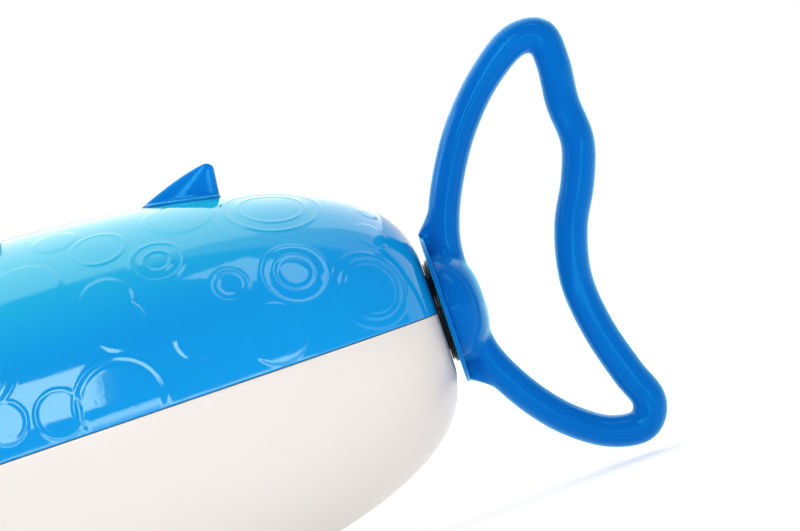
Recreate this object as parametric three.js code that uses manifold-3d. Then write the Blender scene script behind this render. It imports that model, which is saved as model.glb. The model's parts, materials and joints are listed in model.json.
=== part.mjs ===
// Shark squirt bath toy: two body shells round a syringe pump, worked by pulling and pushing the tail.
// Millimetres, +Z up. The pump axis runs along X, head towards -X and tail towards +X.
// The origin is on the flat of the belly, under the widest station of the body.

import * as THREE from 'three';
import { mergeVertices } from 'three/addons/utils/BufferGeometryUtils.js';
import Module from 'manifold-3d';

const wasm = await Module();
wasm.setup();

// Clearances
const FIT = 0.3; // between pieces that seat on each other
const SLIDE = 0.5; // between the piston or rod and what guides it
const SEAL_FIT = 0.2; // round a rubber ring in its groove
const SEAM = 0.3; // between the two shells along the parting line

// Body outline: half height at a distance along X is BODY_RADIUS * (1 - (distance / reach)^2)^fullness
const BODY_RADIUS = 48.7; // at the widest station, X = 0
const REAR_LENGTH = 125; // widest station to the flat rear end
const REAR_END_RADIUS = 14; // flat of the rear end
const REAR_FULLNESS = 0.27; // a smaller exponent gives a squarer end
const NOSE_LENGTH = 110; // widest station to the flat of the nose
const NOSE_END_RADIUS = 9.6; // flat that the nozzle seats on
const SNOUT_TOP = 0.55;
const SNOUT_SIDE = 0.5;
const SNOUT_CHIN = 0.64;
const BELLY_FLAT = 2.2; // depth of the flat that the toy stands on

// Shells
const WALL = 2.2;
const END_WALL = 2.6; // at the rear end and the nose
const LIP_WIDTH = 0.9; // tongue of the lower shell inside the upper one
const LIP_HEIGHT = 1.6;
const RIB = 2;
const BOSS_RADIUS = 5.2;
const BOSS_MARGIN = 2; // between a screw boss and the barrel
const SCREW_NOSE_SETBACK = 58; // front pair of screws behind the nose
const SCREW_MIDDLE = 14; // middle pair behind the widest station
const SCREW_REAR_SETBACK = 53; // rear pair of screws before the rear end
const SCREW_SEAT = 8; // screw head seat below the parting line

// Screws
const SCREW_RADIUS = 1.4;
const SCREW_HEAD_RADIUS = 3;
const SCREW_HEAD = 2;
const SHELL_SCREW_LENGTH = 20;
const PLUNGER_SCREW_LENGTH = 14;

// Pump
const STROKE = 140;
const BORE_RADIUS = 15;
const BARREL_WALL = 2;
const BARREL_FRONT_WALL = 2.5;
const HEAD_SPACE = 1; // piston to barrel front wall with the tail pushed home
const STOP_SPACE = 1; // piston to end cap with the tail pulled out
const NECK_RADIUS = 4.5;
const NECK_BORE = 2.4;
const NECK_SETBACK = 6; // neck end behind the flat of the nose
const NECK_GROOVE_SETBACK = 3.2; // seal groove behind the neck end
const CAP_PLATE = 4;
const CAP_SKIRT = 11;
const CAP_WALL = 1.8;
const CAP_FACE_RADIUS = 13;
const NOZZLE_WALL = 1.6;
const NOZZLE_FLANGE = 2.2;
const NOZZLE_FLANGE_RADIUS = 9;
const NOZZLE_TIP = 8; // length in front of the flange
const NOZZLE_TIP_RADIUS = 3.6;
const JET_RADIUS = 1.5;
const NOZZLE_STEM = 13;
const NECK_SEAL = 0.55; // section radius of the rubber ring

// Plunger
const PISTON_LENGTH = 14;
const PISTON_SEAL = 1.5; // section radius of the rubber ring
const ROD_SPAN = 9; // centre to the edge of each rib
const ROD_WEB = 1.5; // half thickness of each rib
const ROD_FILLET = 3;
const ROD_SPIGOT_RADIUS = 6;
const ROD_SPIGOT = 4;
const COLLAR_RADIUS = 12.2; // black collar seen between body and tail
const COLLAR_STEP = 0.7; // drop in radius on the body side
const TAIL_GAP = 2.2; // body end to tail flange

// Tail handle, measured from the rear end of the body and from the pump axis
const TAIL_RADIUS = 3.6; // half width of the loop's bar, seen from the side
const TAIL_DEPTH = 4.2; // half width of the bar, seen from behind
const TAIL_FLANGE_RADIUS = 17.5;
const TAIL_FLANGE = 1.3;
const TAIL_KNOB_RADIUS = 9;
const TAIL_KNOB = 8.9; // flange face to the top of the dome
const TAIL_RECESS = 3; // depth of the screw recess in the dome
const TAIL_BAR = [
  [6.2, 6], [6.8, 14], [8.8, 21], [13.2, 30], [19.2, 39], [28, 48], [37.2, 53.6], [42.6, 52.6],
  [44, 46], [42.9, 36.5], [43.9, 27], [40.2, 18], [35.6, 9], [32.8, -3], [33.9, -15], [37, -27],
  [39.3, -35], [36.6, -39.4], [29.4, -38.8], [21.4, -33.6], [15.2, -26.8], [9.6, -18.4], [6.8, -12.4],
  [6.2, -5],
];

// Fins
const PEG_RADIUS = 2.4;
const PEG_GRIP = 3; // peg length inside the shell
// Dorsal fins: places along X before the rear end, heights from the top of the body at the fin's end
const FRONT_FIN = {
  start: 149, end: 89.5, tip: 99, lean: -6, hollow: 7, sink: 3.6, rise: 38.4, thickness: 5.4,
  saddleFront: 154, saddleEnd: 89.1, saddleSide: 18.6, saddleRound: 4, saddle: 1.8, pegs: [133, 107],
};
const REAR_FIN = {
  start: 65, end: 39.6, tip: 40.2, lean: 1, hollow: 0, sink: 1.2, rise: 8.2, thickness: 2.6,
  saddleFront: 56.5, saddleEnd: 39, saddleSide: 4.6, saddleRound: 2.5, saddle: 0.9, pegs: [46],
};
const PECTORAL_SETBACK = 50; // root's leading end behind the nose
const PECTORAL_CHORD = 36; // at the root
const PECTORAL_SPAN = 42;
const PECTORAL_SWEEP = 36; // how far the tip lies behind the root's leading end
const PECTORAL_TIP = 13; // chord at the tip
const PECTORAL_HOLLOW = 5; // of the trailing edge
const PECTORAL_THICKNESS = 4; // half thickness at the root
const PECTORAL_ANGLE = -22; // root's place round the body, degrees from the parting line
const PECTORAL_DROOP = 34; // degrees
const PECTORAL_TAB = [16, 9, 3.2]; // tab that passes through the shell

// Head; setbacks are measured from the nose
const EYE_SETBACK = 32;
const EYE_ANGLE = 33; // degrees above the parting line
const EYE_RADIUS = 6.4;
const EYE_RISE = 2.6;
const EYE_PEG_RADIUS = 2.2;
const PUPIL_RADIUS = 3.5;
const PUPIL_RISE = 1.1;
const PUPIL_SINK = 1.2;
const GILL_SETBACKS = [54, 61, 68];
const GILL_ANGLES = [10, 40];
const GILL_RAKE = 5; // the top of each slit lies this much further forward
const GROOVE_RADIUS = 1.5;
const MOUTH_CORNER_SETBACK = 42;
const MOUTH_FRONT_SETBACK = 17;
const MOUTH_ANGLE = 24; // mouth corners below the parting line, degrees

// Facets
const ROUND = 24;
const BODY_RINGS = 20;
const BODY_SIDES = 32;
const CAVITY_RINGS = 12;
const CAVITY_SIDES = 20;
const FAR = 400;

// Places that follow from the sizes above
const axisHeight = BODY_RADIUS - BELLY_FLAT;
const barrelRadius = BORE_RADIUS + BARREL_WALL;
const capFace = REAR_LENGTH - END_WALL - FIT;
const capSeat = capFace - CAP_PLATE;
const barrelRear = capSeat - FIT;
const pistonBack = capSeat - STOP_SPACE - STROKE;
const pistonFront = pistonBack - PISTON_LENGTH;
const barrelFloor = pistonFront - HEAD_SPACE;
const barrelFront = barrelFloor - BARREL_FRONT_WALL;
const neckFront = NECK_SETBACK - NOSE_LENGTH;
const stemRadius = NECK_RADIUS + FIT + NOZZLE_WALL;
const screwSide = barrelRadius + BOSS_RADIUS + BOSS_MARGIN;
const screwHole = SCREW_RADIUS + FIT;
const collarFront = REAR_LENGTH + FIT;
const tailFace = REAR_LENGTH + TAIL_GAP;
const collarBack = tailFace - FIT;
const recessFloor = tailFace + TAIL_KNOB - TAIL_RECESS;
const rearRib = capSeat - CAP_SKIRT - FIT - RIB / 2; // the end cap's skirt stops against it
const ribStations = [(barrelFront + rearRib) / 2, rearRib];
const frontScrews = SCREW_NOSE_SETBACK - NOSE_LENGTH;
const rearScrews = REAR_LENGTH - SCREW_REAR_SETBACK;
const screwStations = [frontScrews, SCREW_MIDDLE, rearScrews];
const eyeStation = EYE_SETBACK - NOSE_LENGTH;
const pectoralFront = PECTORAL_SETBACK - NOSE_LENGTH;
const pectoralMiddle = pectoralFront + PECTORAL_CHORD / 2;
const X_AXIS = new THREE.Vector3(1, 0, 0);
const Z_AXIS = new THREE.Vector3(0, 0, 1);

// Solids

function solid(geometry) {
  const bare = geometry.clone();
  bare.deleteAttribute('normal');
  bare.deleteAttribute('uv');
  const merged = mergeVertices(bare, 1e-4);
  const corners = merged.index.array;
  const triangles = [];
  for (let i = 0; i < corners.length; i += 3) {
    const [a, b, c] = corners.subarray(i, i + 3);
    if (a !== b && b !== c && c !== a) triangles.push(a, b, c);
  }
  const vertProperties = new Float32Array(merged.attributes.position.array);
  const build = (list) => new wasm.Manifold(
    new wasm.Mesh({ numProp: 3, vertProperties, triVerts: new Uint32Array(list) }),
  );
  const made = build(triangles);
  return made.volume() > 0 ? made : build(triangles.reverse());
}

function geometryOf(made) {
  const { vertProperties, triVerts } = made.getMesh();
  const geometry = new THREE.BufferGeometry();
  geometry.setAttribute('position', new THREE.BufferAttribute(vertProperties, 3));
  geometry.setIndex(new THREE.BufferAttribute(triVerts, 1));
  const flat = geometry.toNonIndexed();
  flat.computeVertexNormals();
  return flat;
}

function join(solids) {
  return solids.reduce((whole, next) => whole.add(next));
}

function cut(whole, solids) {
  return solids.reduce((rest, next) => rest.subtract(next), whole);
}

// A block between two corners
function block(low, high) {
  const size = high.map((value, i) => value - low[i]);
  const middle = high.map((value, i) => (value + low[i]) / 2);
  return solid(new THREE.BoxGeometry(...size).translate(...middle));
}

// A turned solid about the pump axis, from [x, radius] points
function turned(profile) {
  const points = profile.map(([x, radius]) => new THREE.Vector2(radius, x));
  return solid(new THREE.LatheGeometry(points, ROUND).rotateZ(-Math.PI / 2));
}

function shaft(x0, x1, radius) {
  return turned([[x0, 0], [x0, radius], [x1, radius], [x1, 0]]);
}

function tube(x0, x1, outer, inner) {
  return turned([[x0, inner], [x0, outer], [x1, outer], [x1, inner], [x0, inner]]);
}

// A round post along Z
function post(x, y, z0, z1, radius, sides = 10) {
  const cylinder = new THREE.CylinderGeometry(radius, radius, z1 - z0, sides);
  return solid(cylinder.rotateX(Math.PI / 2).translate(x, y, (z0 + z1) / 2));
}

// A closed skin over rings with equal numbers of points
function loft(rings) {
  const count = rings[0].length;
  const middle = (ring) => ring.reduce((sum, p) => sum.add(p), new THREE.Vector3()).divideScalar(count);
  const points = [...rings.flat(), middle(rings[0]), middle(rings.at(-1))];
  const foot = rings.length * count;
  const index = [];
  for (let i = 0; i < rings.length; i += 1) {
    for (let j = 0; j < count; j += 1) {
      const next = (j + 1) % count;
      const [a, b] = [i * count + j, i * count + next];
      if (i === 0) index.push(foot, b, a);
      if (i === rings.length - 1) index.push(foot + 1, a, b);
      else index.push(a, b, b + count, a, b + count, a + count);
    }
  }
  const geometry = new THREE.BufferGeometry().setFromPoints(points);
  geometry.setIndex(index);
  return geometry;
}

// A round bar along a curve
function bar(points, across, deep, steps, sides) {
  const section = new THREE.Shape().absellipse(0, 0, deep, across, 0, 2 * Math.PI);
  const extrudePath = new THREE.CatmullRomCurve3(points);
  return solid(new THREE.ExtrudeGeometry(section, { steps, extrudePath, curveSegments: sides / 2 }));
}

// Body surface

function outline(distance, length, endRadius, fullness) {
  const reach = length / Math.sqrt(1 - (endRadius / BODY_RADIUS) ** (1 / fullness));
  return BODY_RADIUS * (1 - (distance / reach) ** 2) ** fullness;
}

function bodyPoint(x, angle) {
  const up = Math.sin(angle);
  const rear = (fullness) => outline(x, REAR_LENGTH, REAR_END_RADIUS, fullness);
  const nose = (fullness) => outline(-x, NOSE_LENGTH, NOSE_END_RADIUS, fullness);
  const side = x >= 0 ? rear(REAR_FULLNESS) : nose(SNOUT_SIDE);
  const height = x >= 0 ? side : nose(up >= 0 ? SNOUT_TOP : SNOUT_CHIN);
  return new THREE.Vector3(x, side * Math.cos(angle), height * up);
}

function bodyNormal(x, angle) {
  const step = 0.01;
  const along = bodyPoint(Math.min(x + step, REAR_LENGTH), angle)
    .sub(bodyPoint(Math.max(x - step, -NOSE_LENGTH), angle));
  const round = bodyPoint(x, angle + step).sub(bodyPoint(x, angle - step));
  return round.cross(along).normalize();
}

function skinPoint(x, angle, offset = 0) {
  return bodyPoint(x, angle).addScaledVector(bodyNormal(x, angle), offset);
}

// The body's outer form, moved out or in by an offset; stations crowd towards both ends
function bodySolid(offset, ringCount = BODY_RINGS, sides = BODY_SIDES) {
  const rings = [];
  for (let i = 0; i <= ringCount; i += 1) {
    const share = Math.sin(((2 * i) / ringCount - 1) * Math.PI / 2);
    const x = share * (share < 0 ? NOSE_LENGTH : REAR_LENGTH);
    const angles = Array.from({ length: sides }, (_, j) => (2 * Math.PI * j) / sides);
    rings.push(angles.map((angle) => skinPoint(x, angle, offset)));
  }
  return solid(loft(rings));
}

const bodyForm = bodySolid(0);
const bodyBed = bodySolid(FIT); // what sits on the body is cut by this
const ribForm = bodySolid(-WALL / 2, CAVITY_RINGS, CAVITY_SIDES);
const above = block([-FAR, -FAR, SEAM / 2], [FAR, FAR, FAR]);
const below = block([-FAR, -FAR, -axisHeight], [FAR, FAR, -SEAM / 2]);
const cavityLimits = block(
  [END_WALL - NOSE_LENGTH, -FAR, WALL - axisHeight],
  [REAR_LENGTH - END_WALL, FAR, FAR],
);
const cavity = bodySolid(-WALL, CAVITY_RINGS, CAVITY_SIDES).intersect(cavityLimits);

// Puts a shape made about the Z axis on the body, standing square to the surface
function onBody(geometry, x, angle) {
  const turn = new THREE.Quaternion().setFromUnitVectors(Z_AXIS, bodyNormal(x, angle));
  const place = new THREE.Matrix4().makeRotationFromQuaternion(turn).setPosition(bodyPoint(x, angle));
  return geometry.clone().applyMatrix4(place);
}

// A groove in the shell along points on the body's surface
function groove(points, steps) {
  return bar(points, GROOVE_RADIUS, GROOVE_RADIUS, steps, 6);
}

const radians = THREE.MathUtils.degToRad;

// Body shells

const rodOpening = ROD_SPAN + SLIDE;

function shellRibs() {
  const plate = (x) => block([x - RIB / 2, -FAR, -FAR], [x + RIB / 2, FAR, FAR]).intersect(ribForm);
  const ribs = ribStations.map((x) => plate(x).subtract(shaft(x - RIB, x + RIB, barrelRadius + FIT)));
  const frontRib = barrelFront - FIT - RIB / 2;
  ribs.push(plate(frontRib).subtract(shaft(frontRib - RIB, frontRib + RIB, NECK_RADIUS + FIT)));
  return join(ribs);
}

const ribs = shellRibs();
const endOpenings = [
  shaft(REAR_LENGTH - 2 * END_WALL, REAR_LENGTH + END_WALL, rodOpening),
  shaft(-NOSE_LENGTH - END_WALL, 2 * END_WALL - NOSE_LENGTH, stemRadius + FIT),
];
const hollowBody = cut(bodyForm, [cavity, ...endOpenings]);
const screwPlaces = screwStations.flatMap((x) => [[x, -screwSide], [x, screwSide]]);

// The ring-shaped tongue between two depths inside the wall, up to a height above the parting line
function lipBand(outerDepth, innerDepth, top) {
  const band = bodySolid(-outerDepth, CAVITY_RINGS, CAVITY_SIDES)
    .subtract(bodySolid(-innerDepth, CAVITY_RINGS, CAVITY_SIDES));
  const limits = block(
    [END_WALL - NOSE_LENGTH + LIP_HEIGHT, -FAR, -LIP_HEIGHT],
    [REAR_LENGTH - END_WALL - LIP_HEIGHT, FAR, top],
  );
  return band.intersect(limits);
}

function gillSlits() {
  const [low, high] = GILL_ANGLES.map(radians);
  const slit = (x, side) => groove([0, 0.25, 0.5, 0.75, 1].map((t) => {
    const angle = low + (high - low) * t;
    const bow = Math.sin(Math.PI * t) * GROOVE_RADIUS;
    return skinPoint(x - GILL_RAKE * t + bow, side > 0 ? angle : Math.PI - angle, GROOVE_RADIUS / 3);
  }), 5);
  return GILL_SETBACKS.flatMap((setback) => [1, -1].map((side) => slit(setback - NOSE_LENGTH, side)));
}

function upperShell() {
  const bosses = screwPlaces.map(([x, y]) => post(x, y, 0, BODY_RADIUS, BOSS_RADIUS).intersect(ribForm));
  const shell = hollowBody.add(ribs).add(join(bosses)).intersect(above);
  const pilots = screwPlaces.map(([x, y]) => (
    post(x, y, -1, SHELL_SCREW_LENGTH - SCREW_SEAT + 2 * FIT, screwHole)
  ));
  const rebate = lipBand(WALL - LIP_WIDTH - 2 * FIT, 2 * WALL, LIP_HEIGHT + FIT);
  const pegHoles = [...FRONT_FIN.pegs, ...REAR_FIN.pegs].map((setback) => (
    post(REAR_LENGTH - setback, 0, barrelRadius, FAR, PEG_RADIUS + FIT)
  ));
  const eyeHoles = [1, -1].map((side) => solid(eyeShaft(side, EYE_PEG_RADIUS + FIT, 3 * WALL, 3 * WALL)));
  return cut(shell, [rebate, ...pilots, ...pegHoles, ...eyeHoles, ...gillSlits()]);
}

function lowerShell() {
  const columns = screwPlaces.map(([x, y]) => post(x, y, -BODY_RADIUS, 0, BOSS_RADIUS).intersect(ribForm));
  const lip = lipBand(WALL - LIP_WIDTH, WALL + FIT, LIP_HEIGHT);
  const shell = hollowBody.add(ribs).add(join(columns)).intersect(below).add(lip);
  const screwWays = screwPlaces.flatMap(([x, y]) => [
    post(x, y, -FAR, -SCREW_SEAT, SCREW_HEAD_RADIUS + FIT),
    post(x, y, -FAR, FAR, screwHole),
  ]);
  const slots = [1, -1].map((side) => pectoralTab(side, FIT));
  return cut(shell, [...screwWays, ...slots, mouth()]);
}

// A wide curve under the snout
function mouth() {
  const steps = Array.from({ length: 13 }, (_, i) => i / 12);
  return groove(steps.map((t) => {
    const angle = -radians(MOUTH_ANGLE + (180 - 2 * MOUTH_ANGLE) * t);
    const forward = (MOUTH_CORNER_SETBACK - MOUTH_FRONT_SETBACK) * Math.sin(Math.PI * t);
    return skinPoint(MOUTH_CORNER_SETBACK - forward - NOSE_LENGTH, angle, GROOVE_RADIUS / 3);
  }), 13);
}

// Screws, head towards -Z and point towards +Z

function screw(length) {
  const profile = [
    [0, -SCREW_HEAD], [0.75 * SCREW_HEAD_RADIUS, -SCREW_HEAD], [SCREW_HEAD_RADIUS, -SCREW_HEAD / 2],
    [SCREW_HEAD_RADIUS, 0], [SCREW_RADIUS, 0], [SCREW_RADIUS, length - 2 * SCREW_RADIUS], [0, length],
  ];
  const points = profile.map(([radius, z]) => new THREE.Vector2(radius, z));
  return new THREE.LatheGeometry(points, 8).rotateX(Math.PI / 2);
}

// Fins

// A fin over horizontal sections, leading edge bowed and trailing edge hollowed
function dorsalFin(fin) {
  const sections = 7;
  const sides = 14;
  const top = bodyPoint(REAR_LENGTH - fin.end, Math.PI / 2).z;
  const rings = Array.from({ length: sections + 1 }, (_, i) => {
    const t = 1 - (1 - i / sections) ** 1.6;
    const lead = REAR_LENGTH - fin.tip - (fin.start - fin.tip) * (1 - t) ** 0.74;
    const trail = REAR_LENGTH - fin.end + fin.lean * t - fin.hollow * Math.sin(Math.PI * t);
    const half = fin.thickness * (0.25 + 0.75 * Math.sqrt(1 - t));
    const z = top - fin.sink + (fin.rise + fin.sink) * t;
    return Array.from({ length: sides }, (__, j) => {
      const turn = (2 * Math.PI * j) / sides;
      const x = (lead + trail) / 2 + (Math.max(trail - lead, 1) / 2) * Math.cos(turn);
      return new THREE.Vector3(x, half * Math.sin(turn), z);
    });
  });
  const pad = roundedPlate(fin).intersect(bodySolid(fin.saddle));
  const pegs = fin.pegs.map((setback) => {
    const x = REAR_LENGTH - setback;
    const roof = bodyPoint(x, Math.PI / 2).z;
    return post(x, 0, roof - WALL - PEG_GRIP, roof + fin.saddle / 2, PEG_RADIUS);
  });
  return solid(loft(rings)).add(pad).subtract(bodyBed).add(join(pegs));
}

// The saddle's plan shape, standing through the top of the body
function roundedPlate({ saddleFront, saddleEnd, saddleSide, saddleRound }) {
  const cornerX = REAR_LENGTH - saddleEnd - saddleRound;
  const cornerY = saddleSide - saddleRound;
  const shape = new THREE.Shape();
  shape.absarc(cornerX, cornerY, saddleRound, 0, Math.PI / 2);
  shape.absarc(REAR_LENGTH - saddleFront + saddleSide, 0, saddleSide, Math.PI / 2, 1.5 * Math.PI);
  shape.absarc(cornerX, -cornerY, saddleRound, -Math.PI / 2, 0);
  return solid(new THREE.ExtrudeGeometry(shape, { depth: FAR, bevelEnabled: false, curveSegments: 5 }));
}

// Places a pectoral shape: its +Y leaves the body on the left or the right side and droops
function pectoralPlace(geometry, side) {
  const root = bodyPoint(pectoralMiddle, radians(PECTORAL_ANGLE));
  geometry.rotateX(-radians(PECTORAL_DROOP)).translate(0, root.y, root.z);
  return solid(geometry.scale(1, side, 1));
}

function pectoralTab(side, growth) {
  const [long, deep, thick] = PECTORAL_TAB.map((size) => size + 2 * growth);
  return pectoralPlace(new THREE.BoxGeometry(long, deep, thick).translate(pectoralMiddle, 0, 0), side);
}

function pectoralFin(side) {
  const sections = 7;
  const sides = 14;
  const tipGain = PECTORAL_SWEEP + PECTORAL_TIP - PECTORAL_CHORD; // tip behind the root's trailing end
  const rings = Array.from({ length: sections + 1 }, (_, i) => {
    const t = i / sections;
    const lead = pectoralFront + PECTORAL_SWEEP * t ** 1.5;
    const tail = pectoralFront + PECTORAL_CHORD + tipGain * t - PECTORAL_HOLLOW * Math.sin(Math.PI * t);
    const half = PECTORAL_THICKNESS * (0.35 + 0.65 * Math.sqrt(1 - t));
    const y = (PECTORAL_SPAN + PECTORAL_TAB[1]) * Math.sin(t * Math.PI / 2) - PECTORAL_TAB[1];
    return Array.from({ length: sides }, (__, j) => {
      const turn = (2 * Math.PI * j) / sides;
      return new THREE.Vector3((lead + tail + (tail - lead) * Math.cos(turn)) / 2, y, half * Math.sin(turn));
    });
  });
  return pectoralPlace(loft(rings), side).subtract(bodyBed).add(pectoralTab(side, 0));
}

// Eyes

function eyeAngle(side) {
  return side > 0 ? radians(EYE_ANGLE) : Math.PI - radians(EYE_ANGLE);
}

function eyeShaft(side, radius, down, up) {
  const cylinder = new THREE.CylinderGeometry(radius, radius, down + up, 12).rotateX(Math.PI / 2);
  return onBody(cylinder.translate(0, 0, (up - down) / 2), eyeStation, eyeAngle(side));
}

// A dome about Z, from its foot up to its rise
function dome(radius, foot, rise) {
  const points = [new THREE.Vector2(0, foot), new THREE.Vector2(radius, foot)];
  for (let i = 0; i <= 4; i += 1) {
    const turn = (i / 4) * Math.PI / 2;
    points.push(new THREE.Vector2(radius * Math.cos(turn), rise * Math.sin(turn)));
  }
  return new THREE.LatheGeometry(points, 14).rotateX(Math.PI / 2);
}

function eye(side) {
  const ball = solid(onBody(dome(EYE_RADIUS, -WALL, EYE_RISE), eyeStation, eyeAngle(side)));
  const stem = solid(eyeShaft(side, EYE_PEG_RADIUS, WALL + PEG_GRIP, EYE_RISE / 3));
  const pocket = solid(eyeShaft(side, PUPIL_RADIUS + FIT, PUPIL_SINK + FIT - EYE_RISE, 2 * EYE_RISE));
  return ball.subtract(bodyBed).add(stem).subtract(pocket);
}

function pupil(side) {
  const shape = dome(PUPIL_RADIUS, -PUPIL_SINK, PUPIL_RISE).translate(0, 0, EYE_RISE);
  return solid(onBody(shape, eyeStation, eyeAngle(side)));
}

// Pump

// A rubber ring lying in a groove, about the pump axis
function rubberRing(x, radius, section) {
  const profile = Array.from({ length: 7 }, (_, i) => {
    const turn = (i / 6) * 2 * Math.PI;
    return [x + section * Math.cos(turn), radius + section * Math.sin(turn)];
  });
  return turned(profile);
}

const neckSealStation = neckFront + NECK_GROOVE_SETBACK;
const neckSealRadius = NECK_RADIUS + FIT - SEAL_FIT / 2 - NECK_SEAL;
const pistonSealRadius = BORE_RADIUS - SEAL_FIT - PISTON_SEAL;

function sealGroove(x, radius, section) {
  const half = section + SEAL_FIT;
  return tube(x - half, x + half, 2 * radius, radius - section - SEAL_FIT / 2);
}

function pumpBarrel() {
  const profile = [
    [neckFront, NECK_BORE], [neckFront, NECK_RADIUS], [barrelFront, NECK_RADIUS],
    [barrelFront, barrelRadius - BARREL_WALL], [barrelFront + BARREL_WALL, barrelRadius],
    [barrelRear, barrelRadius], [barrelRear, BORE_RADIUS], [barrelFloor, BORE_RADIUS],
    [barrelFloor, NECK_BORE], [neckFront, NECK_BORE],
  ];
  return turned(profile).subtract(sealGroove(neckSealStation, neckSealRadius, NECK_SEAL));
}

function nozzle() {
  const seat = -NOSE_LENGTH - FIT;
  const flange = seat - NOZZLE_FLANGE;
  const socket = NECK_RADIUS + FIT;
  const profile = [
    [flange - NOZZLE_TIP, JET_RADIUS], [flange - NOZZLE_TIP, NOZZLE_TIP_RADIUS],
    [flange - NOZZLE_TIP / 4, 1.5 * NOZZLE_TIP_RADIUS], [flange, NOZZLE_FLANGE_RADIUS - 1],
    [flange + 1, NOZZLE_FLANGE_RADIUS], [seat, NOZZLE_FLANGE_RADIUS], [seat, stemRadius],
    [seat + NOZZLE_STEM, stemRadius], [seat + NOZZLE_STEM, socket], [neckFront - FIT, socket],
    [neckFront - FIT, JET_RADIUS], [flange - NOZZLE_TIP, JET_RADIUS],
  ];
  return turned(profile);
}

// The rod's section: four ribs with filleted roots, grown by a clearance
function rodSection(growth) {
  const [span, web, fillet] = [ROD_SPAN + growth, ROD_WEB + growth, ROD_FILLET - growth];
  const root = web + fillet;
  const shape = new THREE.Shape();
  for (let quarter = 0; quarter < 4; quarter += 1) {
    const turn = (quarter * Math.PI) / 2;
    const at = (x, y) => new THREE.Vector2(x, y).rotateAround(new THREE.Vector2(), turn);
    const corners = [at(span, -web), at(span, web)];
    if (quarter === 0) shape.moveTo(corners[0].x, corners[0].y);
    else shape.lineTo(corners[0].x, corners[0].y);
    shape.lineTo(corners[1].x, corners[1].y);
    const centre = at(root, root);
    shape.absarc(centre.x, centre.y, fillet, turn - Math.PI / 2, turn - Math.PI, true);
  }
  return shape;
}

function rodLength(x0, x1, growth) {
  const options = { depth: x1 - x0, bevelEnabled: false, curveSegments: 4 };
  const stick = new THREE.ExtrudeGeometry(rodSection(growth), options);
  return solid(stick.rotateX(Math.PI / 2).rotateZ(Math.PI / 2).translate(x0, 0, 0));
}

function barrelEndCap() {
  const skirt = barrelRadius + FIT;
  const cup = turned([
    [capSeat, 0], [capSeat, skirt], [capSeat - CAP_SKIRT, skirt], [capSeat - CAP_SKIRT, skirt + CAP_WALL],
    [capSeat, skirt + CAP_WALL], [capFace, CAP_FACE_RADIUS], [capFace, 0],
  ]);
  return cup.subtract(rodLength(capSeat - 1, capFace + 1, SLIDE));
}

function plungerRod() {
  const spigotRear = collarBack + ROD_SPIGOT;
  const spigotFront = pistonBack - ROD_SPIGOT;
  const collar = turned([
    [collarFront, 0], [collarFront, COLLAR_RADIUS - COLLAR_STEP],
    [(collarFront + collarBack) / 2, COLLAR_RADIUS - COLLAR_STEP],
    [(collarFront + collarBack) / 2, COLLAR_RADIUS], [collarBack, COLLAR_RADIUS], [collarBack, 0],
  ]);
  const rod = join([
    rodLength(pistonBack + FIT, collarFront + FIT, 0), collar,
    shaft(collarBack - FIT, spigotRear, ROD_SPIGOT_RADIUS),
    shaft(spigotFront, pistonBack + 2 * FIT, ROD_SPIGOT_RADIUS),
  ]);
  const depth = PLUNGER_SCREW_LENGTH;
  return cut(rod, [
    shaft(spigotRear - depth, spigotRear + 1, screwHole),
    shaft(spigotFront - 1, spigotFront + depth, screwHole),
  ]);
}

const pistonScrewSeat = pistonFront + SCREW_HEAD + 2 * FIT;

function pistonHead() {
  const radius = BORE_RADIUS - SLIDE;
  const body = turned([
    [pistonFront, 0], [pistonFront, radius - 1], [pistonFront + 1, radius],
    [pistonBack, radius], [pistonBack, 0],
  ]);
  return cut(body, [
    sealGroove((pistonFront + pistonBack) / 2, pistonSealRadius, PISTON_SEAL),
    shaft(pistonBack - FIT - ROD_SPIGOT, pistonBack + 1, ROD_SPIGOT_RADIUS + FIT),
    shaft(pistonFront - 1, pistonScrewSeat, SCREW_HEAD_RADIUS + FIT),
    shaft(pistonFront, pistonBack, screwHole),
  ]);
}

// Tail handle: one bar bent into a tail fin's outline, both ends in a round boss

function tailHandle() {
  const points = TAIL_BAR.map(([x, z]) => new THREE.Vector3(REAR_LENGTH + x, 0, z));
  const loop = bar(points, TAIL_RADIUS, TAIL_DEPTH, 52, 8);
  const apex = tailFace + TAIL_KNOB;
  const waist = tailFace + TAIL_KNOB / 2;
  const rim = tailFace + TAIL_FLANGE;
  const profile = [[tailFace, 0], [tailFace, TAIL_FLANGE_RADIUS], [rim, TAIL_FLANGE_RADIUS]];
  const shoulder = new THREE.QuadraticBezierCurve(
    new THREE.Vector2(rim, TAIL_FLANGE_RADIUS),
    new THREE.Vector2(waist, (TAIL_FLANGE_RADIUS + TAIL_KNOB_RADIUS) / 2 - 2),
    new THREE.Vector2(waist, TAIL_KNOB_RADIUS),
  );
  shoulder.getPoints(3).slice(1).forEach(({ x, y }) => profile.push([x, y]));
  for (let i = 1; i < 5; i += 1) {
    const turn = (i / 5) * Math.PI / 2;
    profile.push([waist + (apex - waist) * Math.sin(turn), TAIL_KNOB_RADIUS * Math.cos(turn)]);
  }
  profile.push([apex, 0]);
  return cut(loop.add(turned(profile)), [
    shaft(tailFace - 1, collarBack + ROD_SPIGOT + FIT, ROD_SPIGOT_RADIUS + FIT),
    shaft(recessFloor, apex + TAIL_RADIUS, SCREW_HEAD_RADIUS + FIT),
    shaft(tailFace, apex, screwHole),
  ]);
}

// Materials

const plastic = (color, roughness) => new THREE.MeshStandardMaterial({ color, roughness, metalness: 0 });
const BLUE = plastic(0x1583d6, 0.22);
const WHITE = plastic(0xe8e5e3, 0.3);
const BLACK = plastic(0x0b1420, 0.25);
const NATURAL = plastic(0xd9dde0, 0.35);
const RUBBER = plastic(0x1a1a1c, 0.7);
const STEEL = new THREE.MeshStandardMaterial({ color: 0xb8bcc0, roughness: 0.35, metalness: 1 });

// Assembly

const toy = new THREE.Group();
toy.position.z = axisHeight;

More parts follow.
